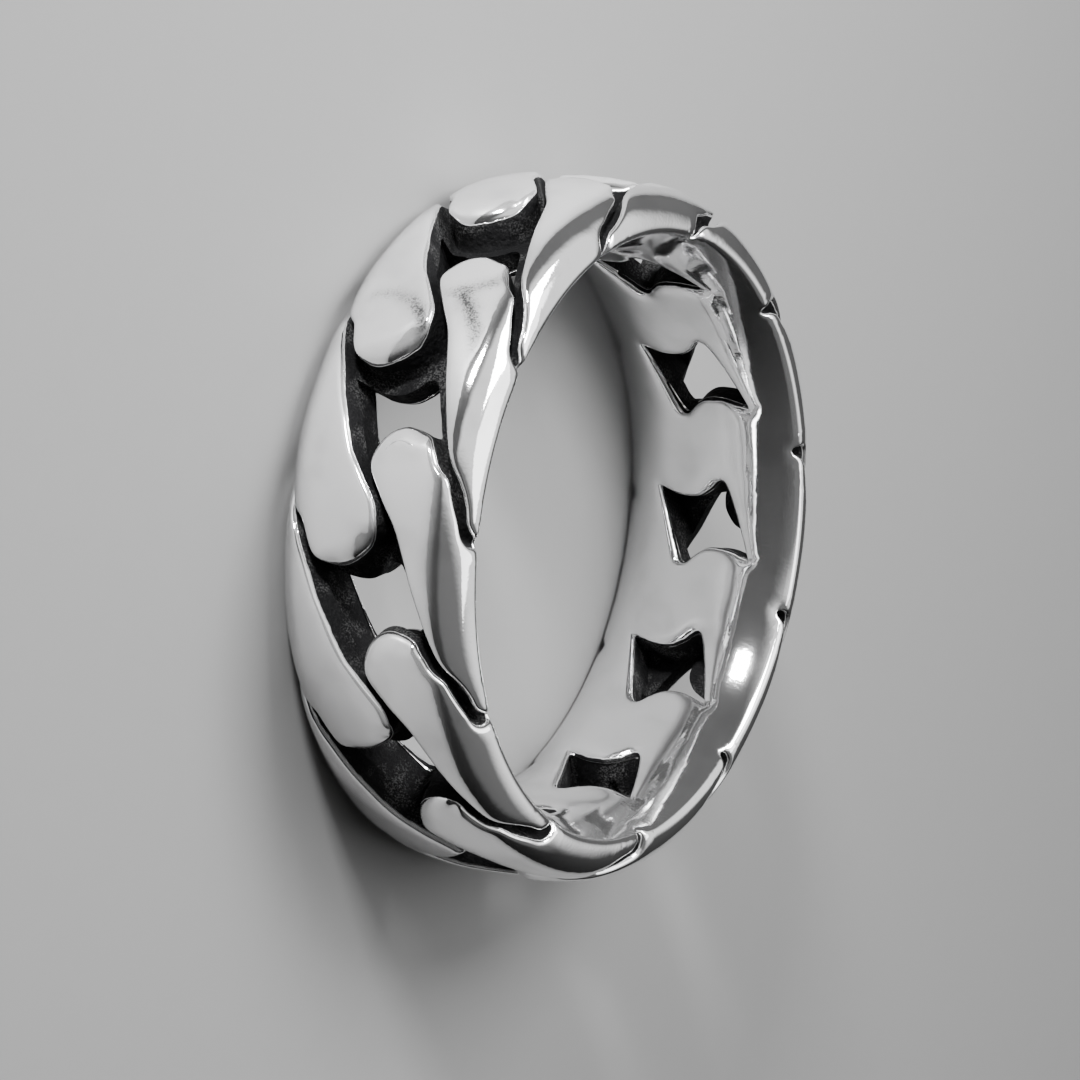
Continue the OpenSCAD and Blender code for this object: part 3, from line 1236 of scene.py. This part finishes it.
class Shader(Nodes):
    """A material's node tree, with the shared grain at hand."""

    # Places of a mix node's two values and of its result, among its sockets.
    number_mix: tuple[int, int, int] = (2, 3, 0)
    colour_mix: tuple[int, int, int] = (6, 7, 2)

    def __init__(self, name: str, grain: bpy.types.NodeTree) -> None:
        """Starts an empty material."""
        self.material = bpy.data.materials.new(name)
        self.material.use_nodes = True
        self.grain = grain
        super().__init__(self.material.node_tree)
        self.tree.nodes.clear()

    def finish(self, inputs: dict[str, object]) -> bpy.types.Material:
        """The material, with its surface made from these inputs."""
        surface = self.node("ShaderNodeBsdfPrincipled", inputs)
        self.node("ShaderNodeOutputMaterial", {"Surface": surface.outputs[0]})
        return self.material

    def mix(
        self, share: object, a: object, b: object, colour: bool = False
    ) -> bpy.types.NodeSocket:
        """Output of a mix of two numbers or two colours.

        Args:
            share: Share of the second value, a socket or a number.
            a: First value.
            b: Second value.
            colour: Whether the values are colours.

        Returns:
            The mix's socket.
        """
        made = self.node("ShaderNodeMix", data_type="RGBA" if colour else "FLOAT")
        first, last, out = self.colour_mix if colour else self.number_mix
        self.put(made.inputs[0], share)
        self.put(made.inputs[first], a)
        self.put(made.inputs[last], b)
        return made.outputs[out]

    def place(self, squash: Triple | None = None) -> bpy.types.NodeSocket:
        """Place on the object, in metres, squashed along its axes where that is given."""
        where = self.node("ShaderNodeTexCoord").outputs["Object"]
        if squash is None:
            return where
        made = self.node("ShaderNodeVectorMath", operation="MULTIPLY")
        self.put(made.inputs[0], where)
        self.put(made.inputs[1], squash)
        return made.outputs[0]

    def stored(self, name: str) -> bpy.types.NodeSocket:
        """Value of the mesh's attribute of that name."""
        return self.node("ShaderNodeAttribute", attribute_name=name).outputs["Fac"]

    def cloud(self, kind: Cloud) -> bpy.types.NodeSocket:
        """Height of the shared grain, for one kind of cloud."""
        inputs = {"Place": self.place(kind.squash), "Size": kind.size, "Detail": kind.detail}
        return self.node("ShaderNodeGroup", inputs, node_tree=self.grain).outputs["Height"]


def grain_group() -> bpy.types.NodeTree:
    """Shared group of fine grain: a cloudy height from a place on the object.

    Returns:
        The group, with inputs Place, Size and Detail.
    """
    group = Nodes(bpy.data.node_groups.new("fine_grain", "ShaderNodeTree"))
    group.sockets("INPUT", {"Place": "Vector", "Size": "Float", "Detail": "Float"})
    group.sockets("OUTPUT", {"Height": "Float"})
    given = group.node("NodeGroupInput").outputs
    place = {"Vector": given["Place"], "Scale": given["Size"], "Detail": given["Detail"]}
    cloud = group.node("ShaderNodeTexNoise", place)
    group.node("NodeGroupOutput", {"Height": cloud.outputs[0]})
    return group.tree


@dataclass(frozen=True)
class BlackenedSilver:
    """Silver polished by hand on the links, with a rough black finish left in the recess.

    A pair named from holds the values between which a mask rises. The black starts a little
    under the links' edges, along a frayed line. The links' faces are worn to a soft satin.
    """

    silver: Colour = (0.95, 0.95, 0.955, 1.0)
    tarnish: Colour = (0.78, 0.78, 0.785, 1.0)
    tarnish_cloud: Cloud = Cloud(520.0, 4.0)
    tarnish_from: Pair = (0.46, 0.72)
    tarnish_most: float = 0.8
    polish: float = 0.055
    worn_polish: float = 0.11
    wipe_cloud: Cloud = Cloud(700.0, 2.0)
    wiped: Pair = (0.7, 1.4)
    bright_metal: float = 0.965
    worn_metal: float = 0.76
    worn_from: Pair = (12.16 * MM, 12.36 * MM)
    black: Colour = (0.007, 0.007, 0.0075, 1.0)
    black_from: Pair = (0.14, 0.20)
    fray_cloud: Cloud = Cloud(3200.0, 3.0)
    fray: float = 0.10
    drift_cloud: Cloud = Cloud(170.0, 1.0)
    drift: Pair = (-0.11, 0.01)
    dull: float = 0.88
    gloss: float = 0.08
    fleck: Colour = (0.13, 0.13, 0.13, 1.0)
    patch_cloud: Cloud = Cloud(750.0, 4.0)
    patch_from: Pair = (0.47, 0.66)
    patch_share: Pair = (0.05, 0.9)
    grit_cloud: Cloud = Cloud(15000.0, 2.0)
    grit_from: Pair = (0.42, 0.74)
    # Dark grey of the file marks: grey grime specks, and a smooth painted shade along each
    # valley.
    grime_and_shade_grey: Colour = (0.10, 0.10, 0.10, 1.0)
    # Strength of the smooth painted shade along the file marks' valleys.
    painted_valley_shade: float = 0.52
    pepper_lift: float = 0.40
    pepper_from: Pair = (0.62, 0.98)
    pepper_most: float = 0.55
    stroke_cloud: Cloud = Cloud(9000.0, 2.0, (1.0, 1.0, 0.06))
    stroke: float = 0.02
    wave_cloud: Cloud = Cloud(420.0, 1.0)
    wave: float = 0.26
    crust_cloud: Cloud = Cloud(5200.0, 4.0)
    relief: float = 0.09 * MM

    def build(self, grain: bpy.types.NodeTree) -> bpy.types.Material:
        """Makes the material.

        Args:
            grain: Shared grain group.

        Returns:
            The material.
        """
        make = Shader("blackened_silver", grain)
        drift = make.mix(make.cloud(self.drift_cloud), *self.drift)
        fray = make.math("MULTIPLY_ADD", make.cloud(self.fray_cloud), self.fray, drift)
        depth = make.math("ADD", make.stored("under_edge"), fray)
        black = make.ramp(depth, self.black_from)
        specks = self.specks(make)
        dark = make.mix(specks, self.black, self.fleck, colour=True)
        worn = self.worn(make)
        metal = make.mix(worn, self.bright_metal, self.worn_metal)
        wiped = make.mix(make.cloud(self.wipe_cloud), *self.wiped)
        satin = make.math("MULTIPLY", make.mix(worn, self.polish, self.worn_polish), wiped)
        inputs = {
            "Base Color": make.mix(black, self.face(make), dark, colour=True),
            "Roughness": make.mix(black, satin, self.dull),
            "Metallic": make.mix(black, metal, specks),
            "Specular IOR Level": self.gloss,
            "Normal": self.bump(make, black),
        }
        return make.finish(inputs)

    def specks(self, make: Shader) -> bpy.types.NodeSocket:
        """Mask of the grey grit in the black, thick only in patches."""
        patches = make.ramp(make.cloud(self.patch_cloud), self.patch_from)
        grit = make.ramp(make.cloud(self.grit_cloud), self.grit_from)
        return make.math("MULTIPLY", grit, make.mix(patches, *self.patch_share))

    def face(self, make: Shader) -> bpy.types.NodeSocket:
        """Colour of the polished faces, with a light tarnish, and grime specks and painted shade
        in the file marks.

        Args:
            make: The material's shader.

        Returns:
            The colour's socket.
        """
        cloud = make.ramp(make.cloud(self.tarnish_cloud), self.tarnish_from)
        clouded = make.math("MULTIPLY", cloud, self.tarnish_most)
        clean = make.mix(clouded, self.silver, self.tarnish, colour=True)
        grime_and_shade, grit = make.stored("file_dirt"), make.cloud(self.grit_cloud)
        # Grime: grey specks that are thickest along the file marks.
        lifted = make.math("MULTIPLY_ADD", grime_and_shade, self.pepper_lift, grit)
        pepper = make.ramp(lifted, self.pepper_from)
        # Painted shade: a smooth darkening along each file mark's valley, where its shading would
        # fall.
        painted_valley_shade = make.math("MULTIPLY", grime_and_shade, self.painted_valley_shade)
        grimed_and_shaded = make.math("MULTIPLY_ADD", pepper, self.pepper_most, painted_valley_shade)
        return make.mix(grimed_and_shaded, clean, self.grime_and_shade_grey, colour=True)

    def worn(self, make: Shader) -> bpy.types.NodeSocket:
        """Mask of the links' worn faces, which lie farthest from the ring's axis."""
        radius = make.node("ShaderNodeVectorMath", operation="LENGTH")
        make.put(radius.inputs[0], make.place((1.0, 1.0, 0.0)))
        return make.ramp(radius.outputs["Value"], self.worn_from)

    def bump(self, make: Shader, black: bpy.types.NodeSocket) -> bpy.types.NodeSocket:
        """Fine relief: faint strokes and waves in the polish, and the black's rough crust.

        Args:
            make: The material's shader.
            black: Mask of the black finish.

        Returns:
            The normal's socket.
        """
        waves = make.math("MULTIPLY", make.cloud(self.wave_cloud), self.wave)
        fine = make.math("MULTIPLY_ADD", make.cloud(self.stroke_cloud), self.stroke, waves)
        height = make.mix(black, fine, make.cloud(self.crust_cloud))
        inputs = {"Strength": 1.0, "Distance": self.relief, "Height": height}
        return make.node("ShaderNodeBump", inputs).outputs[0]


@dataclass(frozen=True)
class PaleBoard:
    """Plain pale studio board, very slightly uneven in tone."""

    colour: Colour = (0.235, 0.235, 0.235, 1.0)
    low_tone: float = 0.97
    tone_cloud: Cloud = Cloud(900.0, 3.0)
    roughness: float = 0.7

    def build(self, grain: bpy.types.NodeTree) -> bpy.types.Material:
        """Makes the material.

        Args:
            grain: Shared grain group.

        Returns:
            The material.
        """
        make = Shader("pale_board", grain)
        low = tuple(c * self.low_tone for c in self.colour[:3]) + (1.0,)
        tone = make.mix(make.cloud(self.tone_cloud), low, self.colour, colour=True)
        return make.finish({"Base Color": tone, "Roughness": self.roughness})


@dataclass(frozen=True)
class SoftBox:
    """A soft light that faces the ring. Its sizes are metres and watts."""

    name: str
    place: Triple
    size: float
    power: float


@dataclass
class Studio:
    """Floor, walls, lights and the camera at the photograph's angle, in metres.

    The walls are the world's light: a dark skirting up to wall_from, a share of the height
    above the ring, then pale, and darker on the side that side_from holds.
    """

    middle: Triple = (0.0, 0.0, 0.0037)
    camera_place: Triple = (0.11874743, 0.03746694, 0.08129125)
    camera_turn: Triple = (-12.34894, -56.96631, -148.1194)
    lens: float = 138.005
    sensor: float = 36.0
    clip: Pair = (0.005, 5.0)
    floor_half: float = 0.4
    skirting: float = 0.015
    wall: float = 1.15
    wall_from: Pair = (0.38, 0.60)
    dark_side: float = 0.08
    side_from: Pair = (-0.12, 0.30)
    boxes: tuple[SoftBox, ...] = (
        SoftBox("key", (0.022, -0.045, 0.07), 0.04, 0.13),
        SoftBox("top", (-0.05, -0.06, 0.24), 0.16, 0.2),
        SoftBox("front", (0.27, -0.14, 0.085), 0.045, 2.1),
    )

    def camera(self) -> None:
        """Makes the scene's camera, fitted to the photograph's gaps, windows and outlines."""
        data = bpy.data.cameras.new("photo_camera")
        data.lens, data.sensor_width = self.lens, self.sensor
        data.clip_start, data.clip_end = self.clip
        made = scene_object("photo_camera", data)
        made.location = self.camera_place
        made.rotation_euler = Euler([math.radians(a) for a in self.camera_turn], "XYZ")
        bpy.context.scene.camera = made

    def lights(self) -> None:
        """Makes the soft boxes."""
        middle = Vector(self.middle)
        for box in self.boxes:
            data = bpy.data.lights.new(box.name, "AREA")
            data.shape, data.size, data.energy = "SQUARE", box.size, box.power
            made = scene_object(box.name, data)
            made.location = box.place
            made.rotation_euler = (middle - made.location).to_track_quat("-Z", "Y").to_euler()

    def walls(self) -> None:
        """Makes the walls as the world's light, which changes with the direction."""
        world = bpy.data.worlds.new("studio")
        world.use_nodes = True
        wall = Nodes(world.node_tree)
        where = wall.node("ShaderNodeTexCoord").outputs["Generated"]
        parts = wall.node("ShaderNodeSeparateXYZ", {"Vector": where}).outputs
        up = wall.ramp(parts["Z"], self.wall_from, (self.skirting, self.wall))
        side = wall.ramp(parts["Y"], self.side_from, (1.0, self.dark_side))
        wall.put(wall.tree.nodes["Background"].inputs[0], wall.math("MULTIPLY", up, side))
        bpy.context.scene.world = world

    def floor(self, board: bpy.types.Material) -> None:
        """Makes the floor that the ring lies on."""
        h = self.floor_half
        points = np.array([(-h, -h, 0.0), (h, -h, 0.0), (h, h, 0.0), (-h, h, 0.0)])
        made = mesh_object("floor", points, [[0, 1, 2, 3]])
        made.data.materials.append(board)


def main() -> None:
    """Builds the ring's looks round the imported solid."""
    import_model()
    grain = grain_group()
    studio = Studio()
    studio.camera()
    studio.lights()
    studio.walls()
    studio.floor(PaleBoard().build(grain))
    band = ChainBand().build(BlackenedSilver().build(grain))
    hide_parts("link_band")
    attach(band, "root")
    LOG.info("%s: %d triangles", band.name, len(band.data.polygons))


if __name__ == "__main__":
    logging.basicConfig(level=logging.INFO, format="%(name)s: %(message)s")
    main()
